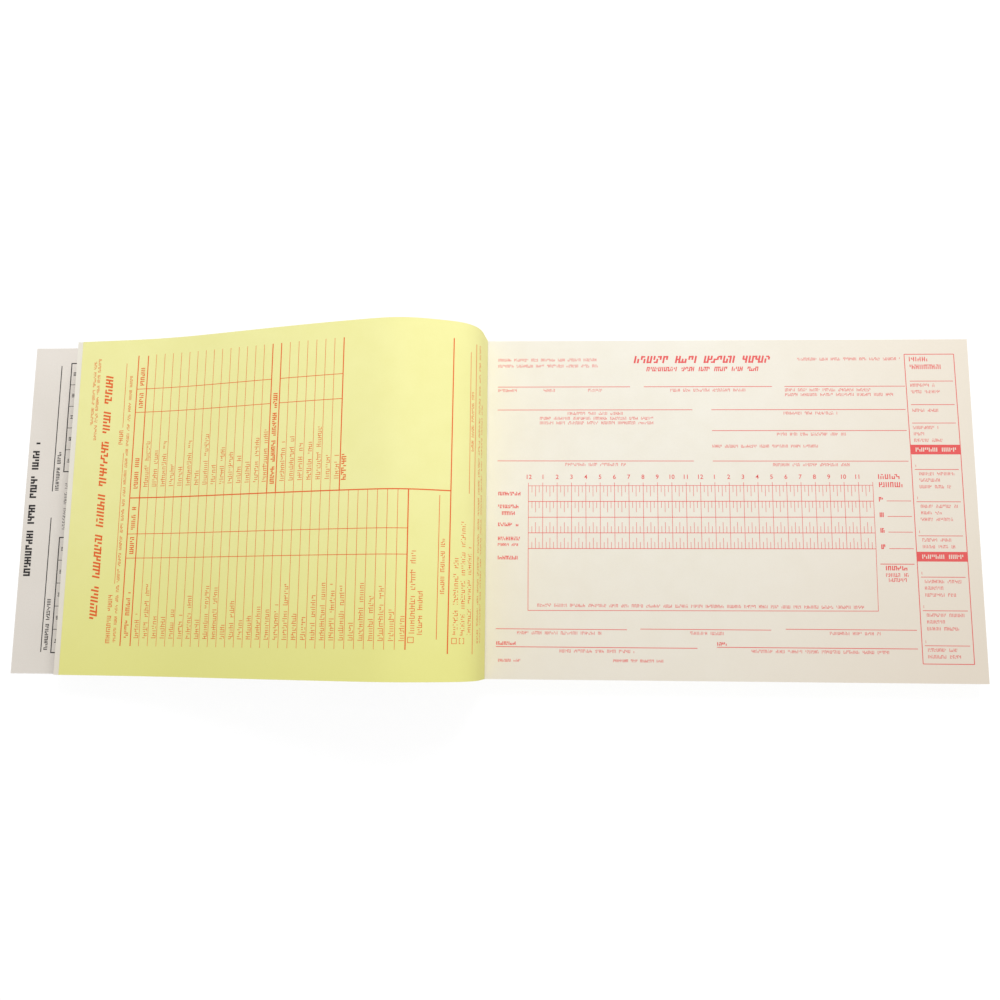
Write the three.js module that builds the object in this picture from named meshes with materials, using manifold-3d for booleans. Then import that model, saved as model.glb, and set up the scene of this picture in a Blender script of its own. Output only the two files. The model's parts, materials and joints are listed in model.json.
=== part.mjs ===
import * as THREE from 'three';
import { mergeVertices } from 'three/addons/utils/BufferGeometryUtils.js';
import Module from 'manifold-3d';

// A side-bound book of two-part forms lying open. The front cover and the first set of sheets are
// turned over to the left, where they arch up from the binding, and the other sets lie flat.
// Millimetres and degrees. X runs from the spine to the right-hand pages' free edge, Y up the page
// and Z up. Until the last lines, X is counted from the tear line and Z from the open page's face.

// Sheets: each set is a white original on a yellow copy, glued to each other along the spine
const sheetWidth = 215.9;
const sheetHeight = 139.7;
const sheetThickness = 0.1;
const sheetAir = 0.02; // between stacked sheets
const setCount = 31;
const tearInset = 18; // spine edge to the perforated tear line, where the turned leaves fold
const glueWidth = 3;

// Covers
const coverThickness = 0.4;
const scoreInset = 10.5; // spine edge to the score line, where each cover folds

// Binding tape round the spine
const tapeThickness = 0.2;
const tapeLap = 8; // how far it reaches over each cover
const tapeAir = 0.05;

// Flat-wire staples through the whole book, under the tape
const stapleSpacing = 76;
const stapleSpan = 13;
const stapleInset = 5; // spine edge to the middle of the wire
const wireWidth = 0.6;
const wireThickness = 0.34;
const clinchLength = 4.5;
const wireClearance = 0.15; // round the wire in its holes and slots
const wireSeat = 0.03; // between the crown or a clinch and the paper it lies on

// The turned set and the front cover
const turnedAir = 0.15; // under the turned set and under the cover
const copyAir = 0.1; // between the turned original and its copy
const foldGap = 0.2; // between the stretches on the two sides of a fold line

// A turned sheet is a row of three flat stretches: one that rises from the fold, one over the
// shoulder of the arch and one with what is left of the sheet. A slope is counted up from the +X
// direction: 90 stands upright and 180 points left. The sheets' last stretch comes down to the level
// of their tip, counted from the open page, and the cover's last stretch to the table.
const leafRise = 19;
const leafRiseAngle = 97;
const leafShoulder = 29.5;
const leafShoulderAngle = 154;
const leafTipLevel = 1;
const coverRise = 20;
const coverRiseAngle = 118;
const coverShoulder = 24;
const coverShoulderAngle = 162;

// Sets with a node for each of their two sheets, counted from the open page; the others have one
const separateSets = 13;

// Levels, all worked out from the sizes above
const spine = -tearInset;
const freeEdge = sheetWidth - tearInset;
const scoreLine = spine + scoreInset;
const sheetPitch = sheetThickness + sheetAir;
const setPitch = 2 * sheetPitch;
const yellowStubBase = turnedAir;
const whiteStubBase = yellowStubBase + sheetThickness + copyAir;
const leafFoldLevel = whiteStubBase + sheetThickness; // the leaves fold on the original's face
const coverBase = leafFoldLevel + turnedAir;
const coverFoldLevel = coverBase + coverThickness; // the cover folds on its outer face
const backTop = -(setCount - 1) * setPitch;
const backBase = backTop - coverThickness;
const tapeTop = coverFoldLevel + tapeAir + tapeThickness;
const tableLevel = backBase - tapeAir - tapeThickness;

const wasm = await Module();
wasm.setup();

const radians = THREE.MathUtils.degToRad;

const whitePaper = { color: 0xf4efe6, roughness: 0.85, metalness: 0 };
const yellowPaper = { color: 0xf2eda6, roughness: 0.85, metalness: 0 };
const coverCard = { color: 0xe6dfd6, roughness: 0.7, metalness: 0 };
const bindingCloth = { color: 0x24262b, roughness: 0.8, metalness: 0 };
const steelWire = { color: 0xb9bcc0, roughness: 0.35, metalness: 1 };

function named(name, geometry, finish) {
  const mesh = new THREE.Mesh(geometry, new THREE.MeshStandardMaterial(finish));
  mesh.name = name;
  return mesh;
}

// A box from its lowest to its highest corner
function block(low, high) {
  const size = high.map((value, i) => value - low[i]);
  const middle = high.map((value, i) => (value + low[i]) / 2);
  return new THREE.BoxGeometry(...size).translate(...middle);
}

// A sheet-high plate between two places across the page and two levels
function plate(left, right, base, top) {
  return block([left, -sheetHeight / 2, base], [right, sheetHeight / 2, top]);
}

// An outline given as [across, level] points, carried up the page from one height to another
function profile(points, low, high) {
  const outline = new THREE.Shape(points.map(([x, z]) => new THREE.Vector2(x, z)));
  const solid = new THREE.ExtrudeGeometry(outline, { depth: high - low, bevelEnabled: false });
  return solid.rotateX(Math.PI / 2).translate(0, high, 0);
}

// Joining and cutting
function toSolid(geometry) {
  const bare = geometry.clone();
  bare.deleteAttribute('normal');
  bare.deleteAttribute('uv');
  const merged = mergeVertices(bare);
  const vertProperties = new Float32Array(merged.attributes.position.array);
  const triVerts = new Uint32Array(merged.index.array);
  return new wasm.Manifold(new wasm.Mesh({ numProp: 3, vertProperties, triVerts }));
}

function toGeometry(solid) {
  const { vertProperties, triVerts } = solid.getMesh();
  const geometry = new THREE.BufferGeometry();
  geometry.setAttribute('position', new THREE.BufferAttribute(vertProperties, 3));
  geometry.setIndex(new THREE.BufferAttribute(triVerts, 1));
  geometry.computeVertexNormals();
  return geometry;
}

function cut(geometry, cutters) {
  return toGeometry(cutters.reduce((solid, cutter) => solid.subtract(cutter), toSolid(geometry)));
}

// Staples: where each one lies, the holes for its legs and the slots for its crown and clinches
const stapleX = spine + stapleInset;
const stapleCentres = { upper: stapleSpacing / 2, lower: -stapleSpacing / 2 };
const wireCutHalf = wireWidth / 2 + wireClearance;

function wireCutter(low, high) {
  return toSolid(block([stapleX - wireCutHalf, low, tableLevel], [stapleX + wireCutHalf, high, tapeTop]));
}

function legHoles() {
  return Object.values(stapleCentres).flatMap((centre) => [-1, 1].map((side) => {
    const outer = centre + side * (stapleSpan / 2 + wireClearance);
    const inner = centre + side * (stapleSpan / 2 - wireThickness - wireClearance);
    return wireCutter(Math.min(outer, inner), Math.max(outer, inner));
  }));
}

function stapleSlots() {
  const half = stapleSpan / 2 + wireClearance;
  return Object.values(stapleCentres).map((centre) => wireCutter(centre - half, centre + half));
}

const legCutters = legHoles();
const slotCutters = stapleSlots();

// One closed wire outline in the upright plane along the spine: crown, two legs, two clinches
function stapleGeometry(centre) {
  const outer = stapleSpan / 2;
  const inner = outer - wireThickness;
  const crownBase = coverBase + wireSeat;
  const crownTop = crownBase + wireThickness;
  const clinchTop = backTop - wireSeat;
  const clinchBase = clinchTop - wireThickness;
  const clinchTip = outer - clinchLength;
  const half = [
    [outer, crownTop],
    [outer, clinchBase],
    [clinchTip, clinchBase],
    [clinchTip, clinchTop],
    [inner, clinchTop],
    [inner, crownBase],
  ];
  const otherHalf = half.map(([y, z]) => [-y, z]).reverse();
  const outline = new THREE.Shape([...half, ...otherHalf].map(([y, z]) => new THREE.Vector2(y, z)));
  const wire = new THREE.ExtrudeGeometry(outline, { depth: wireWidth, bevelEnabled: false });
  return wire
    .translate(0, 0, -wireWidth / 2)
    .rotateX(Math.PI / 2)
    .rotateZ(Math.PI / 2)
    .translate(stapleX, centre, 0);
}

// Binding: tape, staples, the covers' bound strips and the turned set's stubs
function binding() {
  const outerX = spine - tapeAir - tapeThickness;
  const innerX = spine - tapeAir;
  const lapX = spine + tapeLap;
  const innerTop = tapeTop - tapeThickness;
  const innerBase = tableLevel + tapeThickness;
  const tape = profile([
    [outerX, tableLevel],
    [lapX, tableLevel],
    [lapX, innerBase],
    [innerX, innerBase],
    [innerX, innerTop],
    [lapX, innerTop],
    [lapX, tapeTop],
    [outerX, tapeTop],
  ], -sheetHeight / 2, sheetHeight / 2);
  const stripEnd = scoreLine - foldGap / 2;
  const stubEnd = -foldGap / 2;
  const strip = (base, top) => cut(plate(spine, stripEnd, base, top), slotCutters);
  const stub = (base) => cut(plate(spine, stubEnd, base, base + sheetThickness), legCutters);
  return [
    named('binding_tape', tape, bindingCloth),
    ...Object.entries(stapleCentres).map(([place, centre]) => (
      named(`${place}_staple`, stapleGeometry(centre), steelWire))),
    named('front_cover_bound_strip', strip(coverBase, coverFoldLevel), coverCard),
    named('back_cover_bound_strip', strip(backBase, backTop), coverCard),
    named('turned_white_stub', stub(whiteStubBase), whitePaper),
    named('turned_yellow_stub', stub(yellowStubBase), yellowPaper),
  ];
}

// The open page is the original of set 2, as set 1 is turned
function setTop(number) {
  return -(number - 2) * setPitch;
}

function setName(number) {
  return number === 2 ? 'open_page' : `set_${String(number).padStart(2, '0')}`;
}

// An original and its copy as two sheets
function separateSet(number) {
  const sheet = (top) => cut(plate(spine, freeEdge, top - sheetThickness, top), legCutters);
  return [
    named(`${setName(number)}_white`, sheet(setTop(number)), whitePaper),
    named(`${setName(number)}_yellow`, sheet(setTop(number) - sheetPitch), yellowPaper),
  ];
}

// An original and its copy with air between them, joined where they are glued
function gluedSet(number) {
  const whiteTop = setTop(number);
  const whiteBase = whiteTop - sheetThickness;
  const yellowTop = whiteTop - sheetPitch;
  const yellowBase = yellowTop - sheetThickness;
  const glueEnd = spine + glueWidth;
  const sheets = profile([
    [spine, yellowBase],
    [freeEdge, yellowBase],
    [freeEdge, yellowTop],
    [glueEnd, yellowTop],
    [glueEnd, whiteBase],
    [freeEdge, whiteBase],
    [freeEdge, whiteTop],
    [spine, whiteTop],
  ], -sheetHeight / 2, sheetHeight / 2);
  return [named(setName(number), cut(sheets, legCutters), whitePaper)];
}

// A turned sheet: each stretch is a group on the end of the one before, turned to its own slope
function addStretches(start, stretches, fill) {
  let parent = start;
  let reach = 0;
  let slopeBefore = 0;
  stretches.forEach(({ length, slope }, i) => {
    const fold = new THREE.Group();
    fold.position.x = reach;
    fold.rotation.y = -radians(slope - slopeBefore);
    fold.add(...fill(i + 1, foldGap / 2, length - (i < stretches.length - 1 ? foldGap / 2 : 0)));
    parent.add(fold);
    parent = fold;
    reach = length;
    slopeBefore = slope;
  });
  return start;
}

function riseOf(stretches) {
  return stretches.reduce((sum, { length, slope }) => sum + length * Math.sin(radians(slope)), 0);
}

function runOf(stretches) {
  return stretches.reduce((sum, { length, slope }) => sum + length * Math.cos(radians(slope)), 0);
}

// The two arching stretches, and a last one as long as asked that ends at a level
function withEnd(arch, startLevel, length, endLevel) {
  const drop = startLevel + riseOf(arch) - endLevel;
  return [...arch, { length, slope: 180 + THREE.MathUtils.radToDeg(Math.asin(drop / length)) }];
}

// The turned set folds up at the tear line, with its copy outside its original
function turnedSet() {
  const start = new THREE.Group();
  start.position.set(0, 0, leafFoldLevel);
  const arch = [
    { length: leafRise, slope: leafRiseAngle },
    { length: leafShoulder, slope: leafShoulderAngle },
  ];
  const endLength = freeEdge - leafRise - leafShoulder;
  const stretches = withEnd(arch, leafFoldLevel, endLength, leafTipLevel);
  const copyTop = -sheetThickness - copyAir;
  return addStretches(start, stretches, (number, from, to) => [
    named(`turned_white_${number}`, plate(from, to, -sheetThickness, 0), whitePaper),
    named(`turned_yellow_${number}`, plate(from, to, copyTop - sheetThickness, copyTop), yellowPaper),
  ]);
}

// The front cover folds up at its score line and comes down to the table on its outer face
const coverArch = [
  { length: coverRise, slope: coverRiseAngle },
  { length: coverShoulder, slope: coverShoulderAngle },
];
const coverEndLength = freeEdge - scoreLine - coverRise - coverShoulder;
const wholeCover = withEnd(coverArch, coverFoldLevel, coverEndLength, tableLevel);

function frontCover() {
  const start = new THREE.Group();
  start.position.set(scoreLine, 0, coverFoldLevel);
  return addStretches(start, wholeCover, (number, from, to) => [
    named(`front_cover_${number}`, plate(from, to, -coverThickness, 0), coverCard),
  ]);
}

function backCover() {
  return named('back_cover', plate(scoreLine + foldGap / 2, freeEdge, backBase, backTop), coverCard);
}

// The whole book, moved so that X and Y are counted from its middle and Z from the table
const book = new THREE.Group();
book.add(...binding(), turnedSet(), frontCover(), backCover());
for (let number = 2; number <= setCount; number += 1) {
  book.add(...(number - 1 <= separateSets ? separateSet(number) : gluedSet(number)));
}
const coverTipLean = coverThickness * Math.cos(radians(wholeCover.at(-1).slope - 90));
const coverTip = scoreLine + runOf(wholeCover) + coverTipLean;
book.position.set(-(coverTip + freeEdge) / 2, 0, -tableLevel);

const logBook = new THREE.Group();
logBook.add(book);

export default logBook;
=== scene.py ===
import json
import math

import bmesh
import bpy
import numpy as np
from mathutils import Euler, Matrix, Vector


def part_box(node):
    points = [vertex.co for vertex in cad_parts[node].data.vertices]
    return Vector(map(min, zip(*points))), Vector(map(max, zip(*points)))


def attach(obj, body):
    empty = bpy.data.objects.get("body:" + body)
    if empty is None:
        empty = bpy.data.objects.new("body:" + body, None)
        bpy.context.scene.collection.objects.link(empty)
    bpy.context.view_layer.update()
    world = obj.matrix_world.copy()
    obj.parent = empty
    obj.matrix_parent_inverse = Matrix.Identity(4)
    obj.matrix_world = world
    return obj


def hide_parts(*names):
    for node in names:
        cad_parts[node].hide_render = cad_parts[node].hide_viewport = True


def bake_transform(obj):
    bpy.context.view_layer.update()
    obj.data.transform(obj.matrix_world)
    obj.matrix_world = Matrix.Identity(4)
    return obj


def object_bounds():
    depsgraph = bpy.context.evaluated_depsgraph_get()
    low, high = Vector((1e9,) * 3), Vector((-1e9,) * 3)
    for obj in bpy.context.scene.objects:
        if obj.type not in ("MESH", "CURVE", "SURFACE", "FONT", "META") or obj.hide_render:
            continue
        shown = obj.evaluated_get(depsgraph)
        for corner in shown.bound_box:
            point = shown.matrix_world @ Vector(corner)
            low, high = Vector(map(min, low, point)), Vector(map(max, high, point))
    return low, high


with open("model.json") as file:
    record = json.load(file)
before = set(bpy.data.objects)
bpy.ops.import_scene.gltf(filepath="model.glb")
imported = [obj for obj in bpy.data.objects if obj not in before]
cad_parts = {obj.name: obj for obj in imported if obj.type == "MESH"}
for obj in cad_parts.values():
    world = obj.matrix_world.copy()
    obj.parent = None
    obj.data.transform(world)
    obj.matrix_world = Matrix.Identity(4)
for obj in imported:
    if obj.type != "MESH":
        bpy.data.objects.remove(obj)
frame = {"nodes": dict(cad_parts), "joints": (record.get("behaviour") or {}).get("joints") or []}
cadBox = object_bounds()
print("frame loaded")

mm = 0.001  # lengths here are in millimetres, Blender's are in metres

# The forms are laid out from the tear line and from the middle of the page's height. The upper
# corner of the open page tells where these and the page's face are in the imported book.
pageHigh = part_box("open_page_white")[1]
freeEdge = 197.9  # from the tear line to the page's far edge
tearLine = pageHigh.x / mm - freeEdge
pageLevel = pageHigh.z / mm
halfHeight = pageHigh.y / mm


# Materials

class Reading:  # a number that varies over a surface; Python's signs add Math nodes to it
    def __init__(self, finish, socket):
        self.finish = finish
        self.socket = socket

    def combine(self, operation, first, second=0.0):
        made = self.finish.node("ShaderNodeMath", {"operation": operation}, {0: first, 1: second})
        return Reading(self.finish, made.outputs[0])

    def __add__(self, other):
        return self.combine("ADD", self, other)

    def __radd__(self, other):
        return self.combine("ADD", other, self)

    def __sub__(self, other):
        return self.combine("SUBTRACT", self, other)

    def __rsub__(self, other):
        return self.combine("SUBTRACT", other, self)

    def __mul__(self, other):
        return self.combine("MULTIPLY", self, other)

    def __rmul__(self, other):
        return self.combine("MULTIPLY", other, self)

    def above(self, limit):
        return self.combine("GREATER_THAN", self, limit)

    def clipped(self):
        return self.combine("MINIMUM", self.combine("MAXIMUM", self, 0.0), 1.0)

    def part(self):
        return self.combine("FRACT", self)

    def wave(self):
        return self.combine("SINE", self)


class Finish:  # one material and the nodes in it
    def __init__(self, name, **constants):
        self.material = bpy.data.materials.new(name)
        self.material.use_nodes = True
        self.tree = self.material.node_tree
        self.shader = self.tree.nodes["Principled BSDF"]
        for socket, value in constants.items():
            self.shader.inputs[socket.replace("_", " ")].default_value = value
        self.place = self.node("ShaderNodeTexCoord", {}, {}).outputs["Object"]
        self.x, self.y, self.z = (
            Reading(self, socket)
            for socket in self.node("ShaderNodeSeparateXYZ", {}, {0: self.place}).outputs)

    def node(self, kind, settings, inputs):
        made = self.tree.nodes.new(kind)
        for name, value in settings.items():
            setattr(made, name, value)
        for key, value in inputs.items():
            self.feed(made.inputs[key], value)
        return made

    def feed(self, socket, value):
        if isinstance(value, Reading):
            value = value.socket
        if isinstance(value, bpy.types.NodeSocket):
            self.tree.links.new(value, socket)
        else:
            socket.default_value = value

    def noise(self, size, detail=2.0, stretch=(1, 1, 1)):  # size is a blotch's width in millimetres
        scaled = self.node("ShaderNodeVectorMath", {"operation": "MULTIPLY"},
                           {0: self.place, 1: tuple(s / (size * mm) for s in stretch)})
        made = self.node("ShaderNodeTexNoise", {},
                         {"Vector": scaled.outputs[0], "Scale": 1.0, "Detail": detail})
        return Reading(self, made.outputs[0])

    def mix(self, factor, first, second):  # of two colours, which are the node's sockets 6 and 7
        made = self.node("ShaderNodeMix", {"data_type": "RGBA"}, {0: factor, 6: first, 7: second})
        return made.outputs[2]

    def paint(self, **sockets):
        for socket, value in sockets.items():
            self.feed(self.shader.inputs[socket.replace("_", " ")], value)

    def bump(self, height, depth):  # depth in millimetres
        made = self.node("ShaderNodeBump", {}, {"Height": height, "Distance": depth * mm})
        self.feed(self.shader.inputs["Normal"], made.outputs[0])


def colour(red, green, blue):  # screen values of 0 to 255 as Blender's linear ones
    values = np.array([red, green, blue]) / 255
    values = np.where(values <= 0.04045, values / 12.92, ((values + 0.055) / 1.055) ** 2.4)
    return (*values.tolist(), 1.0)


# Each paper's third tone is painted shade. It is mixed in towards the lower edge, and on the white
# paper towards the free edge as well. The deep tones vary at random.
paper = {
    "white": colour(240, 236, 225), "whiteDeep": colour(232, 226, 210),
    "whiteShaded": colour(230, 219, 203),
    "yellow": colour(243, 240, 170), "yellowDeep": colour(236, 232, 155),
    "yellowShaded": colour(232, 229, 132),
    "gloss": 0.3, "smoothest": 0.78, "rougher": 0.16, "bumpDepth": 0.006,
    "fibre": 0.35, "blotch": 9.0, "cloud": 60.0,  # widths in millimetres, then shares in the tone
    "fibreShare": 0.55, "blotchShare": 0.7, "cloudShare": 0.6, "lightShare": 0.45,
    "shadeStart": 0.45, "shadeOver": 0.62,  # as shares of the page's width
    "shadeSide": 0.8, "shadeFoot": 0.4, "shadeYellow": 0.7,
}


def paperDepth(finish):  # 0 to 1 between a paper's light tone and its deep one
    fibres = finish.noise(paper["fibre"], detail=3.0)
    blotches = finish.noise(paper["blotch"], detail=3.0)
    clouds = finish.noise(paper["cloud"], detail=1.0)
    finish.bump(fibres, paper["bumpDepth"])
    finish.paint(Roughness=paper["smoothest"] + fibres * paper["rougher"])
    mottle = (fibres * paper["fibreShare"] + blotches * paper["blotchShare"]
              + clouds * paper["cloudShare"])
    return (mottle - paper["lightShare"]).clipped()


def lowerHalf(finish):  # 0 from the middle of the page's height up, 1 at its lower edge
    return (finish.y * (-1 / (halfHeight * mm))).clipped()


# Painted shade: the white paper turns deeper towards the free edge and the lower edge.
def whiteTone(finish, depth):  # deeper towards the free edge and the lower one
    start = (tearLine + freeEdge * paper["shadeStart"]) * mm
    side = ((finish.x - start) * (1 / (freeEdge * paper["shadeOver"] * mm))).clipped()
    shaded = (side * paper["shadeSide"] + lowerHalf(finish) * paper["shadeFoot"]).clipped()
    plain = finish.mix(depth, paper["white"], paper["whiteDeep"])
    return finish.mix(shaded, plain, paper["whiteShaded"])


# Painted shade: the yellow paper turns deeper towards its lower edge.
def yellowTone(finish, depth):
    plain = finish.mix(depth, paper["yellow"], paper["yellowDeep"])
    return finish.mix(lowerHalf(finish) * paper["shadeYellow"], plain, paper["yellowShaded"])


def makeWhitePaper():
    finish = Finish("white_paper", Specular_IOR_Level=paper["gloss"])
    finish.paint(Base_Color=whiteTone(finish, paperDepth(finish)))
    return finish.material


def makeYellowPaper():
    finish = Finish("yellow_paper", Specular_IOR_Level=paper["gloss"])
    finish.paint(Base_Color=yellowTone(finish, paperDepth(finish)))
    return finish.material


# Sets seen from their edges: in each, from its top, the white original, painted shade for the dark
# gap between the sheets, and the yellow copy. The gap's two ends are shares of a set's height.
edge = {"setPitch": 0.24, "shadedGapFrom": 0.417, "shadedGapTo": 0.5, "shadedGap": colour(96, 92, 66)}


def makePaperPair():
    finish = Finish("paper_pair", Specular_IOR_Level=paper["gloss"])
    depth = paperDepth(finish)
    within = ((pageLevel * mm - finish.z) * (1 / (edge["setPitch"] * mm))).part()
    both = finish.mix(
        within.above(edge["shadedGapTo"]), whiteTone(finish, depth), yellowTone(finish, depth))
    # The dark gap between each set's two sheets is painted shade.
    shadedGap = within.above(edge["shadedGapFrom"]) - within.above(edge["shadedGapTo"])
    finish.paint(Base_Color=finish.mix(shadedGap, both, edge["shadedGap"]))
    return finish.material


card = {
    "face": colour(237, 230, 222), "deep": colour(222, 215, 204),
    "fibre": 0.5, "cloud": 45.0, "fibreShare": 0.6, "lightShare": 0.35,
    "gloss": 0.4, "smoothest": 0.52, "rougher": 0.2, "bumpDepth": 0.008,
}


def makeCard():
    finish = Finish("cover_card", Specular_IOR_Level=card["gloss"])
    fibres = finish.noise(card["fibre"], detail=4.0)
    clouds = finish.noise(card["cloud"], detail=2.0)
    depth = (fibres * card["fibreShare"] + clouds - card["lightShare"]).clipped()
    finish.bump(fibres, card["bumpDepth"])
    finish.paint(Base_Color=finish.mix(depth, card["face"], card["deep"]),
                 Roughness=card["smoothest"] + fibres * card["rougher"])
    return finish.material


inks = {  # each colour solid, and where it printed thinly
    "red": (colour(226, 84, 84), colour(230, 116, 112)),
    "orange": (colour(228, 92, 38), colour(234, 134, 66)),
    "black": (colour(34, 32, 33), colour(66, 63, 63)),
    "speck": 0.5, "speckShare": 0.7, "patch": 14.0, "patchShare": 0.5, "solidShare": 0.35,
    "gloss": 0.25, "smoothest": 0.62, "rougher": 0.12,
}


def makeInk(tone):  # a little uneven, as the paper took less of it in places
    finish = Finish(f"{tone}_ink", Specular_IOR_Level=inks["gloss"])
    specks = finish.noise(inks["speck"], detail=3.0) * inks["speckShare"]
    uneven = specks + finish.noise(inks["patch"], detail=1.0) * inks["patchShare"]
    finish.paint(Base_Color=finish.mix((uneven - inks["solidShare"]).clipped(), *inks[tone]),
                 Roughness=inks["smoothest"] + uneven * inks["rougher"])
    return finish.material


# The cloth's gap colour is painted shade, for the hollows between the threads.
cloth = {
    "thread": colour(44, 46, 52), "shadedGap": colour(18, 19, 22), "pitch": 0.42, "bumpDepth": 0.05,
    "wear": 3.0, "weaveShare": 0.7, "wearShare": 0.5, "shadedGapShare": 0.1,
    "gloss": 0.3, "smoothest": 0.7, "rougher": 0.2,
}


def makeCloth():  # woven threads: two crossed waves, each on top of the other by turns
    finish = Finish("binding_cloth", Specular_IOR_Level=cloth["gloss"])
    turn = 2 * math.pi / (cloth["pitch"] * mm)
    warp = (finish.y * turn).wave()
    weft = ((finish.x + finish.z) * turn).wave()
    weave = (warp * weft) * 0.5 + 0.5
    wear = finish.noise(cloth["wear"], detail=3.0)
    # Where the threads dip, the weave paints shade in the hollows. The wear noise shifts the tone
    # at random.
    raised = (weave * cloth["weaveShare"] + wear * cloth["wearShare"] - cloth["shadedGapShare"]).clipped()
    finish.bump(weave, cloth["bumpDepth"])
    finish.paint(Base_Color=finish.mix(raised, cloth["shadedGap"], cloth["thread"]),
                 Roughness=cloth["smoothest"] + wear * cloth["rougher"])
    return finish.material


wire = {
    "deep": colour(172, 176, 181), "face": colour(205, 207, 210), "drawn": 0.3,
    "drawnWay": (1, 0.08, 1), "smoothest": 0.28, "rougher": 0.2, "bumpDepth": 0.01,
}


def makeWire():
    finish = Finish("staple_wire", Metallic=1.0)
    drawn = finish.noise(wire["drawn"], detail=3.0, stretch=wire["drawnWay"])
    finish.bump(drawn, wire["bumpDepth"])
    finish.paint(Base_Color=finish.mix(drawn, wire["deep"], wire["face"]),
                 Roughness=wire["smoothest"] + drawn * wire["rougher"])
    return finish.material


whitePaper, yellowPaper, paperPair = makeWhitePaper(), makeYellowPaper(), makePaperPair()
coverCard, bindingCloth, stapleWire = makeCard(), makeCloth(), makeWire()
redInk, orangeInk, blackInk = makeInk("red"), makeInk("orange"), makeInk("black")
print("materials made")


# Meshes

sharpFrom = 35  # a smooth piece stays sharp where its faces meet at more than this many degrees


# Thin closed blocks, all in one mesh. Each has two faces, given as grids of points: place i, j of
# the lower face is joined to its neighbours i + 1 and j + 1, and so is the upper face, and the rims
# of the two are joined by a wall.
def closedBlocks(name, lower, upper, material, smooth=False):
    blocks, rows, columns = lower.shape[:3]
    points = np.stack([lower, upper], 1).reshape(-1, 3) * mm
    i, j = np.meshgrid(np.arange(rows - 1), np.arange(columns - 1), indexing="ij")
    corner = (i * columns + j).ravel()
    over = rows * columns
    rim = np.concatenate([
        np.arange(rows - 1) * columns,
        (rows - 1) * columns + np.arange(columns - 1),
        np.arange(rows - 1, 0, -1) * columns + columns - 1,
        np.arange(columns - 1, 0, -1)])
    ahead = np.roll(rim, -1)
    faces = np.concatenate([
        np.stack([corner, corner + columns, corner + columns + 1, corner + 1], 1) + over,
        np.stack([corner, corner + 1, corner + columns + 1, corner + columns], 1),
        np.stack([rim, ahead, ahead + over, rim + over], 1)])
    faces = (faces[None] + (np.arange(blocks) * 2 * over)[:, None, None]).reshape(-1, 4)
    a, b, c, d = (points[faces[:, k]] for k in range(4))
    volume = np.sum(a * np.cross(b, c)) + np.sum(a * np.cross(c, d))
    if volume < 0:
        faces = faces[:, ::-1]
    return meshPiece(name, points, faces, material, smooth)


def meshPiece(name, points, faces, material, smooth=False):
    mesh = bpy.data.meshes.new(name)
    mesh.vertices.add(len(points))
    mesh.vertices.foreach_set("co", np.ascontiguousarray(points, np.float32).ravel())
    mesh.loops.add(faces.size)
    mesh.loops.foreach_set("vertex_index", np.ascontiguousarray(faces, np.int32).ravel())
    mesh.polygons.add(len(faces))
    starts = np.arange(0, faces.size, faces.shape[1], dtype=np.int32)
    mesh.polygons.foreach_set("loop_start", starts)
    mesh.update(calc_edges=True)
    mesh.validate()
    mesh.polygons.foreach_set("use_smooth", np.full(len(faces), smooth))
    if smooth:
        mesh.set_sharp_from_angle(angle=math.radians(sharpFrom))
    mesh.materials.append(material)
    piece = bpy.data.objects.new(name, mesh)
    bpy.context.scene.collection.objects.link(piece)
    return piece


# Bent sheets

# The turned sheets and the front cover each lie along three bodies in a row, hinged in turn. The
# slope along a sheet starts at "slope" and goes through "turns": each adds so many degrees, from so
# far along, over so much of the length. Slopes are counted up from the +X direction, so 180 points
# left. The two bends say how far before and after a hinge each reaches, and the sheet's two pieces
# meet halfway between the first bend's end and the second's start. "white", "yellow" and "card" are
# the heights of a sheet's two faces off the one that it folds on.
leaf = {
    "chain": "leaf", "length": 196.6, "slope": 97.02,
    "turns": ((64.88, 8.504, 25.208), (29.26, 35.53, 27.64), (4.39, 39.65, 75.41),
              (-9.35, 130.22, 50.28)),
    "firstBend": (18.9, 22.6), "secondBend": (7.3, 8.9),
    "white": (-0.1, 0.0), "yellow": (-0.3, -0.2), "yellowShort": 2.4,
}
cover = {
    "chain": "cover", "length": 205.0, "slope": 118.02,
    "turns": ((47.78, 9.963, 17.914), (34.72, 41.43, 27.8), (-4.24, 64.97, 59.04),
              (-17.1, 132.32, 78.02)),
    "firstBend": (17.8, 18.0), "secondBend": (5.1, 45.4), "card": (-0.4, 0.0),
}
sheetGrid = {"samples": 4001, "archSteps": 60, "flatSteps": 110, "upSteps": 9, "clear": 0.05}


def direction(angle):
    return np.stack([np.cos(angle), np.sin(angle)], -1)


def smoothStep(share):  # t * t * (3 - 2 * t), held at 0 before the step and at 1 after it
    share = np.clip(share, 0, 1)
    return share * share * (3 - 2 * share)


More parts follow.
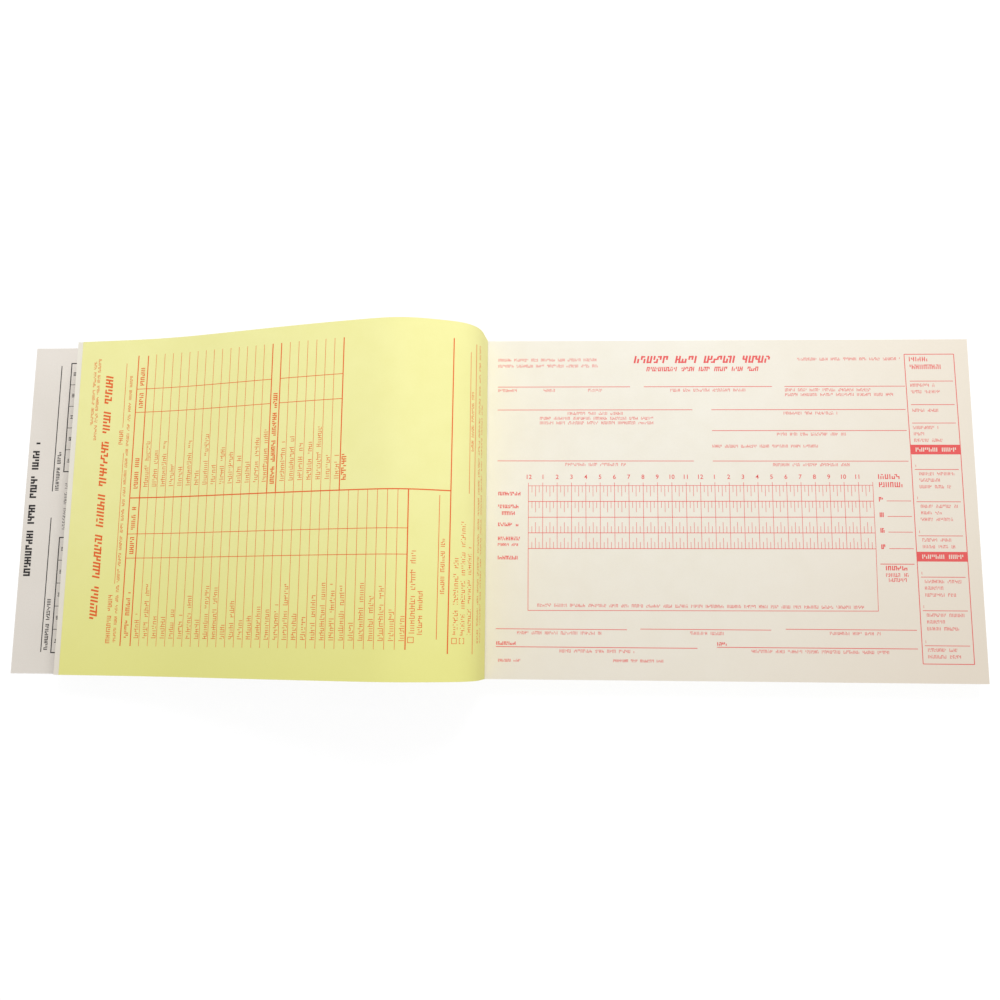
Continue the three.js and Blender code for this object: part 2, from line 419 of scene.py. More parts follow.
# The place along a sheet is the sum of short steps, each in the direction of the slope there.
for sheet in (leaf, cover):
    joints = [j for j in frame["joints"] if j["child"].startswith(sheet["chain"] + "_")]
    hinges = [np.array(j["pos_m"])[[0, 2]] / mm for j in joints]
    slopes = np.radians(np.cumsum([j["range_deg"][1] for j in joints]))
    stretches = [math.dist(hinges[k], hinges[k + 1]) for k in (0, 1)]
    sheet["bends"] = [
        (hinges[k + 1] - before * direction(slopes[k]),
         hinges[k + 1] + after * direction(slopes[k + 1]))
        for k, (before, after) in enumerate((sheet["firstBend"], sheet["secondBend"]))]
    spare = stretches[1] - sheet["firstBend"][1] - sheet["secondBend"][0]
    sheet["split"] = stretches[0] + sheet["firstBend"][1] + spare / 2
    sheet["along"] = np.linspace(0, sheet["length"], sheetGrid["samples"])
    sheet["slopes"] = np.radians(sheet["slope"] + sum(
        turn * smoothStep((sheet["along"] - first) / over) for turn, first, over in sheet["turns"]))
    steps = direction((sheet["slopes"][1:] + sheet["slopes"][:-1]) / 2) * sheet["along"][1]
    sheet["line"] = hinges[0] + np.concatenate([np.zeros((1, 2)), np.cumsum(steps, 0)])


# x, y, z of places on a sheet, so far along it, up the page and off the face that it folds on
def onSheet(sheet, along, up, height):
    along, up, height = np.broadcast_arrays(along, up, height)
    x, z, slope = (np.interp(along, sheet["along"], values)
                   for values in (sheet["line"][:, 0], sheet["line"][:, 1], sheet["slopes"]))
    return np.stack([x - height * np.sin(slope), up, z + height * np.cos(slope)], -1)


def hangOn(piece, sheet, bend):
    start, end = ((x * mm, 0, z * mm) for x, z in sheet["bends"][bend])
    bodies = [f"{sheet['chain']}_{bend + 1}", f"{sheet['chain']}_{bend + 2}"]
    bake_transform(piece)


# One sheet as two pieces that meet between its bends, each replacing the flat stretches under it
def bentSheet(name, sheet, nodes, heights, length, material):
    for bend, (label, first, last, steps, stretches) in enumerate((
            ("arch", sheetGrid["clear"], sheet["split"], sheetGrid["archSteps"], (1, 2)),
            ("flat", sheet["split"], length, sheetGrid["flatSteps"], (3,)))):
        along = np.linspace(first, last, steps)[:, None]
        up = np.linspace(-halfHeight, halfHeight, sheetGrid["upSteps"])[None, :]
        faces = [onSheet(sheet, along, up, height)[None] for height in heights]
        piece = closedBlocks(f"{name}_{label}", *faces, material, smooth=True)
        hangOn(piece, sheet, bend)
        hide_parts(*(f"{nodes}_{k}" for k in stretches))


bentSheet("turned_white_sheet", leaf, "turned_white", leaf["white"], leaf["length"],
          whitePaper)
bentSheet("turned_yellow_sheet", leaf, "turned_yellow", leaf["yellow"],
          leaf["length"] - leaf["yellowShort"], yellowPaper)
bentSheet("front_cover_card", cover, "front_cover", cover["card"], cover["length"],
          coverCard)
print("sheets bent")


# Print

# Marks are straight strokes: where each starts and ends and how wide it is, in millimetres, on the
# axes that the form is read on: first the way the words run, then up the form.
ink = {
    "thin": 0.26, "bold": 0.46, "sunk": 0.01, "proud": 0.018, "crossed": 0.005,
    "longFrom": 2.5, "longSteps": 60,
}


def rule(x0, y0, x1, y1, width=ink["thin"]):
    return np.array([[x0, y0, x1, y1, width]])


def band(x0, y0, x1, y1):  # a solid patch
    return rule(x0, (y0 + y1) / 2, x1, (y0 + y1) / 2, y1 - y0)


def frameOf(x0, y0, x1, y1, width):
    half = width / 2
    return np.concatenate([
        rule(x0 - half, y0, x1 + half, y0, width), rule(x0 - half, y1, x1 + half, y1, width),
        rule(x0, y0 + half, x0, y1 - half, width), rule(x1, y0 + half, x1, y1 - half, width)])


def ticks(xs, y0, y1, width):  # upright rules, all between the same two levels
    return np.stack(np.broadcast_arrays(xs, y0, xs, y1, width), 1)


# "pitch", "feet", "tops", "small" and "shortest" are shares of the line's height, "widest" is one
# of the pitch, "barWidth" of an upright's width and "joined" of the uprights. "cells" gives the
# fewest to a word and one above the most.
wordMarks = {
    "pitch": 0.42, "feet": (0.0, 0.0, 0.0, 0.0, 0.45), "tops": (0.6, 1.0, 1.0, 1.0), "small": 0.74,
    "shortest": 0.4, "widest": 0.7, "barWidth": 0.85, "cells": (8, 17), "joined": 0.6,
}


# A line of words as unreadable marks. Uprights stand in cells along the line, some cells left empty
# as the spaces between words. Most uprights are as tall as the line, or lower where small is set,
# and short bars at its foot, middle or top join some of them to their neighbours.
def words(x, y, length, cap, seed, weight, slant=0.0, small=False):
    rng = np.random.default_rng(seed + int(length * 10))
    count = max(3, int(length / (cap * wordMarks["pitch"])))
    pitch = length / count
    cell = np.arange(count)
    at = x + (cell + 0.5) * pitch
    usual = wordMarks["small"] if small else 1
    low = rng.choice(wordMarks["feet"], count) * cap
    high = rng.choice((usual, usual, usual, 1.0) if small else wordMarks["tops"], count) * cap
    high[0] = cap
    high = np.maximum(high, low + wordMarks["shortest"] * cap)
    ends = np.cumsum(rng.integers(*wordMarks["cells"], count))
    keep = ~np.isin(cell, np.concatenate([ends, ends + 1]))
    width = min(weight, pitch * wordMarks["widest"])
    uprights = np.stack([
        at + low * slant, y + low, at + high * slant, y + high, np.full(count, width)], 1)
    level = rng.choice([0.5 * width / cap, 0.5, usual - 0.5 * width / cap], count) * cap
    neighbours = keep & np.roll(keep, -1) & (cell < count - 1)
    joined = (rng.random(count) < wordMarks["joined"]) & neighbours
    bars = np.stack([at + level * slant, y + level, at + pitch + level * slant, y + level,
                     np.full(count, width * wordMarks["barWidth"])], 1)
    return np.concatenate([uprights[keep], bars[joined]])


# A stroke becomes a bar of that width, cut into sections along its length. The side step is at
# right angles to the stroke.
def strokeGrid(strokes, sections):
    start, end, width = strokes[:, 0:2], strokes[:, 2:4], strokes[:, 4]
    along = end - start
    side = np.stack([-along[:, 1], along[:, 0]], 1) / np.linalg.norm(along, axis=1)[:, None]
    step = np.linspace(0, 1, sections + 1)[None, :, None]
    middle = start[:, None] + step * along[:, None]
    halfSide = (side * width[:, None] / 2)[:, None]
    return np.stack([middle - halfSide, middle + halfSide], 2)  # stroke, section, side, axis


def crossedHeight(strokes):  # strokes that cross each other differ a little in height
    level = np.abs(strokes[:, 2] - strokes[:, 0]) > np.abs(strokes[:, 3] - strokes[:, 1])
    return (ink["proud"] - ink["crossed"] * level)[:, None, None, None]


def swapped(strokes):  # from the axes of a flat page's form to those of a bent sheet's, or back
    return [np.concatenate(strokes)[:, [1, 0, 3, 2, 4]]]


# On a flat page, words running along x; outward is 1 on a face that looks up, less than 0 on one
# that looks down
def printFlat(name, strokes, body, level, material, outward=1.0):
    strokes = np.concatenate(strokes)
    grid = strokeGrid(strokes, 1)
    face = np.full(grid.shape[:3] + (1,), level)
    lower, upper = (np.concatenate([grid + [tearLine, 0], face + outward * height], -1)
                    for height in (-ink["sunk"], crossedHeight(strokes)))
    piece = closedBlocks(name, lower, upper, material)
    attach(piece, body)


tiny = 1e-6  # a stroke that rises by less than this many millimetres counts as level


# On a bent sheet, words running up the page's height and the form's top at the free edge. Strokes
# are cut where the sheet's two pieces meet, and those that follow the bend get more sections.
def printBent(name, strokes, sheet, face, material, outward=-1.0):
    strokes = np.concatenate(strokes)
    flip = strokes[:, 1] > strokes[:, 3]
    strokes[flip] = strokes[flip][:, [2, 3, 0, 1, 4]]
    for bend, (label, first, last) in enumerate((
            ("arch", 0.0, sheet["split"]), ("flat", sheet["split"], sheet["length"]))):
        rise = np.maximum(strokes[:, 3] - strokes[:, 1], tiny)
        shares = [np.clip((limit - strokes[:, 1]) / rise, 0, 1) for limit in (first, last)]
        level = strokes[:, 3] - strokes[:, 1] < tiny
        inside = np.where(level, (strokes[:, 1] >= first) & (strokes[:, 1] < last),
                          shares[1] - shares[0] > tiny)
        shares = [np.where(level, k, share)[inside, None] for k, share in enumerate(shares)]
        kept = strokes[inside]
        ends = [kept[:, 0:2] + share * (kept[:, 2:4] - kept[:, 0:2]) for share in shares]
        kept = np.concatenate([*ends, kept[:, 4:5]], 1)
        long = kept[:, 3] - kept[:, 1] > ink["longFrom"]
        for kind, chosen, sections in (
                ("marks", kept[~long], 1), ("rules", kept[long], ink["longSteps"])):
            if len(chosen) == 0:
                continue
            grid = strokeGrid(chosen, sections)
            lower, upper = (onSheet(sheet, grid[..., 1], grid[..., 0], face + outward * height)
                            for height in (-ink["sunk"], crossedHeight(chosen)[..., 0]))
            piece = closedBlocks(f"{name}_{kind}_{label}", lower, upper, material)
            hangOn(piece, sheet, bend)


# The open page: a day's record, ruled for the 24 hours. "short" and "long" are the quarter-hour
# marks' shares of a row. The page bows a little, which takes the middle hours to the right, and the
# grid and its numbers tilt and drift a little with it.
hours = {
    "left": 17.5, "right": 156.8, "rows": (8.3, 1.8, -4.7, -11.1, -17.5), "overhang": 1.3,
    "short": 0.42, "long": 0.68, "bow": 0.48, "tilt": 0.0035,
    "topWidth": 0.2, "rowWidth": 0.26, "lineWidth": 0.18, "hourWider": 0.02,
    "numberLevel": 11.15, "numberSize": 1.8, "numberTilt": 0.002,
    "numberDrift": 0.018, "driftFrom": 5,
}


def hourPlace(share):  # by share of the day
    straight = hours["left"] + (hours["right"] - hours["left"]) * share
    return straight + 4 * hours["bow"] * share * (1 - share)


def hourGrid():
    hourX = hourPlace(np.linspace(0, 1, 25))
    quarterX = hourPlace(np.linspace(0, 1, 97))
    rows = hours["rows"]
    strokes = [rule(hours["left"], y, hours["right"], y, hours["rowWidth" if k else "topWidth"])
               for k, y in enumerate(rows)]
    strokes.append(ticks(hourX, rows[-1], rows[0] + hours["overhang"],
                         hours["lineWidth"] + hours["hourWider"]))
    for k, (top, base) in enumerate(zip(rows, rows[1:])):
        tall = top - base
        for offset, share in ((1, hours["short"]), (2, hours["long"]), (3, hours["short"])):
            reach = share * tall
            ends = (top - reach, top) if k < 2 else (base, base + reach)
            strokes.append(ticks(quarterX[offset::4], *ends, hours["lineWidth"]))
    strokes = np.concatenate(strokes)
    strokes[:, [1, 3]] += hours["tilt"] * (strokes[:, [0, 2]] - hours["left"])
    return [strokes]


# A line to write on, with rows of small words below it: where each starts, its length and its drop
smallWords = {"cap": 1.25, "weight": 0.19}


def labelled(x0, x1, y, texts, seed, width=ink["thin"]):
    return [rule(x0, y, x1, y, width)] + [
        words(x, y - drop, length, smallWords["cap"], seed + k, smallWords["weight"])
        for k, (x, length, drop) in enumerate(texts)]


# The summary column's frame leans a little. These are the left end, the right end and the level of
# its upper edge, of the middle of its first band, and of its lower edge.
summary = ((172.1, 192.15, 63.5), (172.6, 192.5, 23.5), (172.8, 192.6, -62.3))
summarySides = [
    rule(upper[k], upper[2], lower[k], lower[2], 0.3)
    for upper, lower in zip(summary, summary[1:]) for k in (0, 1)]

# In the tables of marks below, words are given as x, y, length, height, seed and weight, and some
# with a slant, and rules as x, y, x, y and width.
whiteForm = [
    words(60.8, 60.1, 56.4, 3.1, 3, 0.74, 0.22), words(66.1, 56.6, 46.3, 1.9, 4, 0.42, 0.2),
    words(4.6, 61.0, 41.7, 1.2, 5, 0.19), words(4.6, 58.4, 41.7, 1.2, 6, 0.19),
    words(128.4, 61.0, 42.0, 1.2, 7, 0.19),
    *labelled(4.6, 59.5, 50.0, ((4.6, 8.5, 2.1), (23.5, 5.0, 2.1), (42.0, 6.0, 2.1)), 20),
    *labelled(65.2, 117.8, 50.0, ((76.0, 31.0, 2.1),), 30),
    *labelled(122.9, 171.8, 50.0, ((122.9, 36.0, 2.1), (122.9, 44.0, 4.1)), 40),
    *labelled(4.6, 85.0, 40.2, ((33.5, 23.0, 2.1), (22.0, 47.0, 4.2), (22.0, 47.0, 6.1)), 50),
    *labelled(92.8, 171.5, 40.2, ((122.0, 22.0, 2.1),), 60),
    *labelled(92.8, 171.5, 31.4, ((119.0, 28.0, 2.1),), 70),
    words(92.7, 24.3, 42.9, 1.2, 8, 0.19),
    *labelled(4.7, 85.1, 18.7, ((32.5, 25.0, 2.1),), 80),
    *labelled(92.8, 171.5, 18.7, ((117.0, 31.0, 2.1),), 90),
    words(5.0, 4.3, 9.4, 1.5, 9, 0.36), words(5.0, -1.0, 8.6, 1.5, 10, 0.36),
    words(6.5, -3.8, 5.6, 1.5, 11, 0.36),
    words(5.0, -8.4, 8.6, 1.5, 12, 0.36), words(5.0, -14.2, 9.2, 1.5, 13, 0.36),
    words(5.0, -16.5, 9.4, 1.1, 14, 0.26), words(5.0, -22.0, 9.6, 1.5, 15, 0.36),
    *hourGrid(),
    rule(17.5, -17.5, 17.5, -42.6, 0.24), rule(156.8, -17.0, 156.5, -41.8, 0.2),
    rule(17.5, -42.5, 156.6, -41.8, 0.24),
    words(21.1, -41.0, 131.0, 1.25, 16, 0.2),
    *labelled(4.6, 57.1, -49.9, ((13.0, 34.0, 2.1),), 100),
    *labelled(62.4, 114.2, -49.6, ((82.0, 13.5, 2.1),), 110),
    *labelled(119.9, 171.1, -49.2, ((137.0, 20.0, 2.1),), 120),
    *labelled(4.7, 84.9, -57.0, ((30.0, 30.0, 2.1),), 130, 0.28),
    *labelled(92.6, 171.1, -56.5, ((106.0, 54.0, 2.1),), 140, 0.28),
    words(4.7, -56.3, 8.0, 1.4, 17, 0.36), words(92.6, -55.9, 4.0, 1.4, 18, 0.36),
    words(5.5, -62.9, 10.0, 1.1, 19, 0.22), words(51.4, -62.7, 20.0, 1.1, 20, 0.22),
    words(158.8, 11.35, 9.0, 2.0, 21, 0.42), words(159.0, 8.0, 9.8, 2.1, 22, 0.42),
    *(rule(162.0, y, 171.7, y, 0.24) for y in (2.4, -3.9, -10.25, -16.9)),
    *(words(158.8, y, 1.8, 1.9, 23 + k, 0.42) for k, y in enumerate((2.1, -4.2, -10.5, -17.1))),
    rule(158.2, -23.1, 171.6, -23.1, 0.3),
    words(160.1, -25.6, 8.8, 1.8, 27, 0.42), words(160.0, -28.2, 9.2, 1.5, 28, 0.26),
    words(161.0, -30.2, 7.4, 1.5, 29, 0.26),
    *(rule(left, level, right, level, 0.3) for left, right, level in (summary[0], summary[-1])),
    *summarySides,
    words(173.7, 60.5, 7.9, 1.9, 31, 0.36), words(173.9, 57.2, 13.7, 1.9, 32, 0.36),
    *(rule(173.8, y, 191.3, y, 0.26)
      for y in (52.1, 42.2, 34.5, 15.3, 2.1, -11.7, -28.2, -41.5, -55.2)),
    *(rule(174.3, y, 174.3, y + 1.1, 0.16) for y in (16.2, 3.1, -10.6, -27.2, -40.5, -54.2)),
]
bands = [band(172.55, 21.5, 192.55, 25.5), band(172.75, -22.0, 192.6, -18.1)]
summaryLines = (  # x, y and length
    (173.8, 49.7, 10.0), (173.9, 47.0, 11.8), (174.1, 39.2, 10.6), (173.9, 32.0, 10.4),
    (174.1, 29.4, 4.4), (174.1, 26.7, 12.1), (175.3, 12.9, 14.8), (175.2, 10.3, 8.5),
    (175.2, 7.6, 12.7), (175.2, -0.4, 14.9), (175.2, -3.0, 8.4), (174.9, -5.7, 13.0),
    (175.1, -14.0, 11.6), (175.1, -16.7, 13.0), (175.1, -30.6, 15.1), (175.0, -33.2, 8.6),
    (175.0, -35.9, 12.8), (175.1, -43.9, 14.9), (175.1, -46.5, 8.3), (175.0, -49.2, 12.6),
    (174.8, -57.5, 11.6), (174.7, -60.1, 13.0))
whiteForm += [
    words(x, y, length, 1.3, 200 + k, 0.2) for k, (x, y, length) in enumerate(summaryLines)]

printFlat("open_page_print", whiteForm, "bound_block", pageLevel, redInk)


# The bands hold reversed marks: the band is cut into upright bars, and the marks are its gaps
bandMarks = {
    "inset": 1.9, "drop": 0.85, "length": 16.4, "cap": 1.7, "seed": 41, "weight": 0.4,
    "least": 0.02,  # a narrower bar than this is left out
}


def reversedBand(strokes):
    x0, y, x1, _, tall = strokes[0]
    cells = words(x0 + bandMarks["inset"], y - bandMarks["drop"], bandMarks["length"],
                  bandMarks["cap"], bandMarks["seed"], bandMarks["weight"])
    gaps = [(c[0], c[1], c[3], c[4]) for c in cells if c[0] == c[2]]
    reached, base, top = x0, y - tall / 2, y + tall / 2
    bars = []
    for middle, low, high, width in sorted(gaps):
        left, right = max(middle - width / 2, reached), middle + width / 2
        if left - reached > bandMarks["least"]:
            bars.append(rule(reached, y, left, y, tall))
        bars += [rule(left, (base + low) / 2, right, (base + low) / 2, low - base),
                 rule(left, (top + high) / 2, right, (top + high) / 2, top - high)]
        reached = right
    return [*bars, rule(reached, y, x1, y, tall)]


bandBars = [stroke for solid in bands for stroke in reversedBand(solid)]
printFlat("open_page_bands", bandBars, "bound_block", pageLevel, redInk)


# Hour numbers: plain digits, each set centred over its hour line and made a flat plate. A digit's
# height is "capShare" of the font's size. The function placed takes places on the form and gives
# the final ones.
digits = {"capShare": 0.7, "heavier": 0.03, "curveSteps": 3, "weld": 0.001}


def numberPlates(name, labels, size, material, placed):
    made = bmesh.new()
    for label, x, y in labels:
        curve = bpy.data.curves.new("digits", "FONT")
        curve.body, curve.size, curve.align_x = label, size * mm / digits["capShare"], "CENTER"
        curve.resolution_u, curve.offset = digits["curveSteps"], digits["heavier"] * mm
        curve.extrude = (ink["sunk"] + ink["proud"]) / 2 * mm
        typed = bpy.data.objects.new("digits", curve)
        mesh = bpy.data.meshes.new_from_object(typed)
        mesh.transform(Matrix.Translation(Vector((x, y, (ink["proud"] - ink["sunk"]) / 2)) * mm))
        made.from_mesh(mesh)
        bpy.data.objects.remove(typed)
        bpy.data.curves.remove(curve)
        bpy.data.meshes.remove(mesh)
    bmesh.ops.remove_doubles(made, verts=made.verts, dist=digits["weld"] * mm)
    bmesh.ops.recalc_face_normals(made, faces=made.faces)
    plate = bpy.data.meshes.new(name)
    made.to_mesh(plate)
    made.free()
    points = np.empty(len(plate.vertices) * 3, np.float32)
    plate.vertices.foreach_get("co", points)
    points = placed(*(points.reshape(-1, 3).T / mm)) * mm
    plate.vertices.foreach_set("co", np.ascontiguousarray(points, np.float32).ravel())
    plate.materials.append(material)
    piece = bpy.data.objects.new(name, plate)
    bpy.context.scene.collection.objects.link(piece)
    return piece


def hourLabel(hour):  # its number on a twelve-hour clock, and where the middle of its foot is
    x = hourPlace(hour / 24)
    return (str((hour - 1) % 12 + 1),
            x - hours["numberDrift"] * (hour - hours["driftFrom"]),
            hours["numberLevel"] + hours["numberTilt"] * (x - hours["left"]))


hourLabels = [hourLabel(hour) for hour in range(24)]
plates = numberPlates("hour_numbers", hourLabels, hours["numberSize"], redInk,
                      lambda x, y, z: np.stack([x + tearLine, y, z + pageLevel], -1))
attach(plates, "bound_block")

# The turned original carries the same form, on the face that now looks down
printBent("turned_white_print", swapped(whiteForm), leaf, leaf["white"][1], redInk, 1.0)
printBent("turned_white_bands", swapped(bandBars), leaf, leaf["white"][1], redInk, 1.0)
for bend, label in enumerate(("arch", "flat")):
    chosen = [made for made in hourLabels if (made[1] > leaf["split"]) == bend]
    plates = numberPlates(f"turned_white_numbers_{label}", chosen, hours["numberSize"], redInk,
                          lambda x, y, z: onSheet(leaf, x, y, z))
    hangOn(plates, leaf, bend)
print("open page printed")


# The yellow copy's back: a check list in two columns of ruled items, each named on its line
items = {
    "head": 168.15, "top": 159.95, "pitch": 3.93, "left": (-58.0, 2.2), "right": (2.2, 63.0),
    "boxes": ((-22.6, -12.7), (38.3, 48.3)), "leftLast": 29, "rightLast": 22, "heading": (14, 15),
    "leftIndent": 2.9, "rightIndent": 4.3, "rise": 0.45, "lineWidth": 0.2,
    "cap": 2.0, "weight": 0.24, "shortest": 6.0, "longest": 23.0,
}
itemLines = items["top"] - items["pitch"] * np.arange(items["leftLast"] + 1)
heading = itemLines[list(items["heading"])]
yellowForm = [
    words(-48.1, 179.2, 102.4, 3.3, 51, 0.74, 0.2),
    words(33.3, 187.1, 28.7, 1.2, 54, 0.2), words(26.8, 185.2, 35.3, 1.2, 55, 0.2),
    words(-57.2, 172.9, 19.8, 1.8, 52, 0.28), rule(-33.0, 172.3, 21.2, 172.3, 0.22),
    words(24.6, 173.0, 6.4, 1.8, 56, 0.28), rule(32.0, 173.4, 59.6, 173.4, 0.22),
    words(-56.7, 170.3, 110.9, 1.2, 53, 0.2),
    rule(-58.0, items["head"], 62.8, items["head"], ink["bold"]),
    rule(-58.0, 163.7, 62.6, 163.7, ink["bold"]),
    *(words(x, 164.9, length, 1.85, 57 + k, 0.38) for k, (x, length) in enumerate((
        (-54.9, 18.6), (-21.1, 7.3), (-11.1, 9.7), (5.9, 13.1), (40.0, 6.7), (49.6, 9.6)))),
    rule(2.2, 29.6, 2.2, items["head"], ink["bold"]),
    *(rule(x, itemLines[-1], x, items["head"]) for x in items["boxes"][0]),
    *(rule(x, low, x, high) for x in items["boxes"][1] for low, high in (
        (heading[0], items["head"]), (itemLines[items["rightLast"]], heading[1]))),
    words(5.6, heading[1] + 0.9, 37.0, 1.9, 63, 0.42), words(5.9, 70.95, 10.6, 2.0, 64, 0.42),
    frameOf(-55.4, 43.0, -53.4, 45.1, 0.22), words(-52.3, 42.7, 31.4, 2.1, 65, 0.26, small=True),
    words(-52.7, 39.9, 16.6, 1.9, 66, 0.26, small=True),
    rule(-54.2, 34.4, 0.3, 34.0), words(-37.4, 31.7, 21.2, 1.6, 70, 0.24),
    rule(-59.5, 30.1, 62.9, 29.3, ink["bold"]),
    frameOf(-55.7, 26.6, -53.7, 28.5, 0.22), frameOf(-55.7, 23.4, -53.7, 25.4, 0.22),
    *(words(x, y, length, 2.0, 67 + k, 0.26, small=True) for k, (x, y, length) in enumerate((
        (-52.6, 26.2, 29.3), (-52.9, 23.2, 43.7), (-52.6, 20.0, 33.8)))),
    rule(1.8, 21.6, 58.5, 21.5), words(18.6, 19.5, 24.0, 1.3, 73, 0.22),
    rule(-59.7, 18.8, 62.6, 18.1, 0.36),
    words(-55.7, 14.2, 118.6, 1.4, 71, 0.22), words(-55.7, 10.8, 95.0, 1.4, 72, 0.22),
]
itemRng = np.random.default_rng(12)
for column, last, skipped, indent in (
        ("left", items["leftLast"], (), items["leftIndent"]),
        ("right", items["rightLast"], items["heading"], items["rightIndent"])):
    first, end = items[column]
    for k, level in enumerate(itemLines[:last + 1]):
        width = ink["bold"] if k == last or k in skipped else items["lineWidth"]
        yellowForm.append(rule(first, level, end, level, width))
        length = itemRng.uniform(items["shortest"], items["longest"])
        if k != items["heading"][1] or not skipped:
            yellowForm.append(words(first + indent, level + items["rise"], length, items["cap"],
                                    300 + k + last, items["weight"], small=True))
printBent("yellow_print", yellowForm, leaf, leaf["yellow"][0], orangeInk)
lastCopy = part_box("set_31")[0].z / mm
copyProud = -0.5  # the last copy looks down on the back cover, with little room for its print
printFlat("last_copy_print", swapped(yellowForm), "bound_block", lastCopy, orangeInk, copyProud)

# The inside of the cover: a month in two tables of five columns, of which only the head shows
coverTables = {
    "low": 62.0, "sides": ((-61.2, -13.1, 188.5), (15.2, 63.0, 188.9)),  # left, right and head
    "columns": 5, "rowPitch": 3.8, "firstRow": 5, "lastRow": 2,
    "frameWidth": 0.45, "columnWidth": 0.24, "rowWidth": 0.2,
    "titleLength": 1.8, "titleCap": 1.6, "titleDrop": 2.7, "titleWeight": 0.34, "titleSeed": 90,
}
coverForm = [
    words(-29.7, 200.2, 57.9, 2.9, 81, 0.78),
    rule(-61.0, 192.9, -4.6, 192.9, 0.4), words(-60.3, 190.2, 21.4, 1.6, 82, 0.34),
    rule(6.7, 193.3, 61.9, 193.3, 0.4), words(6.9, 190.6, 17.0, 1.6, 83, 0.34),
    words(-9.8, 186.2, 20.2, 1.6, 84, 0.2),
]


def coverTable(left, right, head):
    low, columns = coverTables["low"], coverTables["columns"]
    middles = [left + (k + 0.5) * ((right - left) / columns) for k in range(columns)]
    rows = np.arange(head - coverTables["firstRow"], low + coverTables["lastRow"],
                     -coverTables["rowPitch"])
    return [
        *(words(middle - coverTables["titleLength"] / 2, head - coverTables["titleDrop"],
                coverTables["titleLength"], coverTables["titleCap"],
                coverTables["titleSeed"] + k, coverTables["titleWeight"])
          for k, middle in enumerate(middles)),
        frameOf(left, low, right, head, coverTables["frameWidth"]),
        *(rule(x, low, x, head, coverTables["columnWidth"])
          for x in np.linspace(left, right, columns + 1)[1:-1]),
        *(rule(left, y, right, y, coverTables["rowWidth"]) for y in rows)]


for side in coverTables["sides"]:
    coverForm += coverTable(*side)
printBent("cover_print", coverForm, cover, cover["card"][0], blackInk)
print("turned sheets printed")


# Binding tape: folded round the spine. Its section runs along the top lap, round the back and
# under the book, and the outer face is the inner one moved out by the tape's thickness. Over each
# staple it rises by a hump that falls off smoothly on both sides.
tape = {
    "thickness": 0.2, "corner": 0.35, "tighter": 0.9,  # inside corners, by a share of the thickness
    "lapSteps": 40, "cornerSteps": 9, "backSteps": 8, "upSteps": 240, "topWithin": 0.01,
    "stapleX": -13.0, "staples": (38.0, -38.0), "stapleLength": 13.0,
    "hump": 0.1, "humpWidth": 0.55, "humpFall": 3,
}


def tapePath(box, inset, corner):
    left, right = box[0].x / mm + inset, box[1].x / mm
    low, high = box[0].z / mm + inset, box[1].z / mm - inset
    lap, steps = tape["lapSteps"], tape["backSteps"]
    quarter = np.linspace(0, math.pi / 2, tape["cornerSteps"])
    sine, cosine = np.sin(quarter), np.cos(quarter)
    top = np.stack([np.linspace(right, left + corner, lap), np.full(lap, high)], 1)
    upper = np.array([left + corner, high - corner]) + corner * np.stack([-sine, cosine], 1)
    lower = np.array([left + corner, low + corner]) + corner * np.stack([-cosine, -sine], 1)
    base = np.stack([np.linspace(left + corner, right, lap), np.full(lap, low)], 1)
    levels = np.linspace(high - corner, low + corner, steps + 2)[1:-1]
    back = np.stack([np.full(steps, left), levels], 1)
    return np.concatenate([top[:-1], upper, back, lower, base[1:]])


def stapleHump(x, y):  # a bell across the staple, a soft step down beyond each of its ends
    across = np.exp(-((x - tearLine - tape["stapleX"]) / tape["humpWidth"]) ** 2)
    beyond = (np.abs(y - middle) - tape["stapleLength"] / 2 for middle in tape["staples"])
    lengthwise = sum(1 / (1 + np.exp(far * tape["humpFall"])) for far in beyond)
    return tape["hump"] * across * lengthwise


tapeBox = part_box("binding_tape")
up = np.linspace(-halfHeight, halfHeight, tape["upSteps"])[None, :]
tapeFaces = []
for inset in (tape["thickness"], 0.0):
    path = tapePath(tapeBox, inset, tape["corner"] - inset * tape["tighter"])
    face = np.stack(np.broadcast_arrays(path[:, :1], up, path[:, 1:]), -1)
    if inset == 0:
        onTop = face[..., 2] > tapeBox[1].z / mm - tape["topWithin"]
        face[..., 2] += np.where(onTop, stapleHump(face[..., 0], face[..., 1]), 0)
    tapeFaces.append(face[None])
tapePiece = closedBlocks("cloth_tape", *tapeFaces, bindingCloth, smooth=True)
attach(tapePiece, "bound_block")
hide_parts("binding_tape")
print("tape folded")

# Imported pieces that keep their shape. The first of these words in a name tells its material, and
# a name with none of them is a cloth piece.
finishes = {
    "staple": stapleWire, "cover": coverCard, "yellow": yellowPaper, "white": whitePaper,
    "set_": paperPair,
}
for name, node in frame["nodes"].items():
    finish = next((finishes[word] for word in finishes if word in name), bindingCloth)
    node.data.materials.clear()
    node.data.materials.append(finish)
print("packed pieces painted")


# Stage

stage = {  # places and sizes in metres, the floor's drop in millimetres
    "floorSize": 4.0, "floorTone": colour(246, 246, 246), "floorDrop": 0.02, "floorRough": 0.9,
    "floorClear": 0.8, "floorHaze": 0.12, "worldLight": 0.5,
    "keyPlace": (0.12, 0.62, 0.58), "keySize": 0.5, "keyPower": 5.8,
    "fillPlace": (0.6, -0.7, 0.9), "fillSize": 1.2, "fillPower": 0.4,
}


